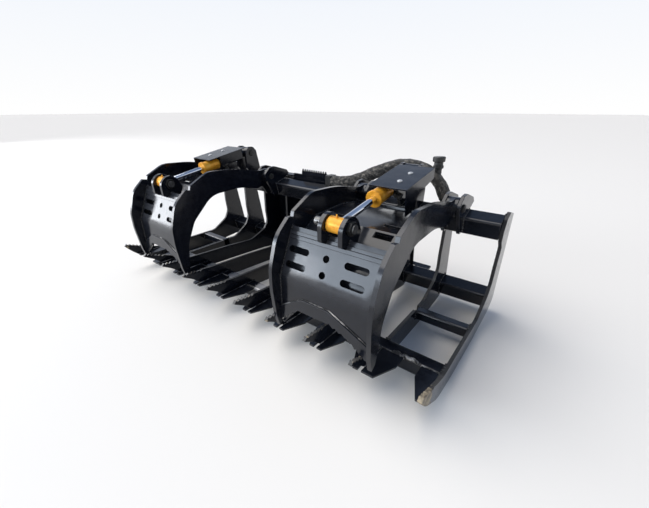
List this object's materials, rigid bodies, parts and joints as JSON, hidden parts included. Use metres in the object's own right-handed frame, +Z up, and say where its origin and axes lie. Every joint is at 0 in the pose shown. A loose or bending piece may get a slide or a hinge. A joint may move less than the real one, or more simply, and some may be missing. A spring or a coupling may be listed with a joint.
{
  "type": "root grapple",
  "caption": "Loader root grapple with a tined basket and hydraulic clamp lids that close over it.",
  "frame": {"origin": "bottom centre of the whole grapple's box, on the ground", "axes": "+X across the machine to the right as seen from the loader's front, +Y back to the loader, +Z up"},
  "size_m": [1.829, 0.9735, 0.687],
  "materials": {
    "black_paint": "gloss black paint",
    "gold_plating": "yellow zinc plating",
    "chrome": "hard chrome",
    "bright_steel": "zinc plated steel",
    "dark_steel": "black oxide",
    "hose_sleeve": "woven grey sleeve"
  },
  "bodies": {
    "frame": {"back_plate": "black_paint", "base_pins": "bright_steel", "cylinder_towers": "black_paint", "floor_tube_left": "black_paint", "floor_tube_right": "black_paint", "front_tube": "black_paint", "heel_tube": "black_paint", "hinge_brackets": "black_paint", "hinge_pins": "bright_steel", "hose_bulkhead": "dark_steel", "hose_bundle": "hose_sleeve", "hose_coupler": "dark_steel", "quick_attach_hook": "black_paint", "quick_attach_lip": "black_paint", "quick_attach_plate": "black_paint", "serrated_step": "black_paint", "tine_1": "black_paint", "tine_10": "black_paint", "tine_2": "black_paint", "tine_3": "black_paint", "tine_4": "black_paint", "tine_5": "black_paint", "tine_6": "black_paint", "tine_7": "black_paint", "tine_8": "black_paint", "tine_9": "black_paint", "top_tube": "black_paint", "tube_end_plugs": "black_paint", "wings_left": "black_paint", "wings_right": "black_paint"},
    "lid_left": {"lid_left_cross_strip": "black_paint", "lid_left_front_plate": "black_paint", "lid_left_mouth_plate": "black_paint", "lid_left_rod_ears": "black_paint", "lid_left_rod_pin": "bright_steel", "lid_left_rod_pin_nut": "dark_steel", "lid_left_side_1": "black_paint", "lid_left_side_2": "black_paint", "lid_left_top_plate": "black_paint"},
    "rod_left": {"cylinder_left_rod": "chrome", "cylinder_left_rod_eye": "gold_plating"},
    "barrel_left": {"cylinder_left_barrel": "black_paint", "cylinder_left_gland": "gold_plating", "cylinder_left_guard": "black_paint"},
    "lid_right": {"lid_right_cross_strip": "black_paint", "lid_right_front_plate": "black_paint", "lid_right_mouth_plate": "black_paint", "lid_right_rod_ears": "black_paint", "lid_right_rod_pin": "bright_steel", "lid_right_rod_pin_nut": "dark_steel", "lid_right_side_1": "black_paint", "lid_right_side_2": "black_paint", "lid_right_top_plate": "black_paint"},
    "rod_right": {"cylinder_right_rod": "chrome", "cylinder_right_rod_eye": "gold_plating"},
    "barrel_right": {"cylinder_right_barrel": "black_paint", "cylinder_right_gland": "gold_plating", "cylinder_right_guard": "black_paint"}
  },
  "joints": [
    {"name": "lid_left_hinge", "type": "hinge", "parent": "frame", "child": "lid_left", "pos_m": [-0.5258, 0.13912, 0.545], "axis": [-1, 0, 0], "range_deg": [0, 45]},
    {"name": "rod_left_pivot", "type": "hinge", "parent": "lid_left", "child": "rod_left", "pos_m": [-0.5258, -0.35788, 0.56], "axis": [1, 0, 0], "range_deg": [-0.5, 2.16]},
    {"name": "barrel_left_slide", "type": "slide", "parent": "rod_left", "child": "barrel_left", "axis": [0, -0.9854, -0.1704], "range_m": [0, 0.1]},
    {"name": "lid_right_hinge", "type": "hinge", "parent": "frame", "child": "lid_right", "pos_m": [0.5258, 0.13912, 0.545], "axis": [-1, 0, 0], "range_deg": [0, 45]},
    {"name": "rod_right_pivot", "type": "hinge", "parent": "lid_right", "child": "rod_right", "pos_m": [0.5258, -0.35788, 0.56], "axis": [1, 0, 0], "range_deg": [-0.5, 2.16]},
    {"name": "barrel_right_slide", "type": "slide", "parent": "rod_right", "child": "barrel_right", "axis": [0, -0.9854, -0.1704], "range_m": [0, 0.1]}
  ],
  "couplings": [
    {"joint": "rod_left_pivot", "follows": "lid_left_hinge", "ratio": 0.0368},
    {"joint": "barrel_left_slide", "follows": "lid_left_hinge", "m_per_rad": 0.108},
    {"joint": "rod_right_pivot", "follows": "lid_right_hinge", "ratio": 0.0368},
    {"joint": "barrel_right_slide", "follows": "lid_right_hinge", "m_per_rad": 0.108}
  ]
}
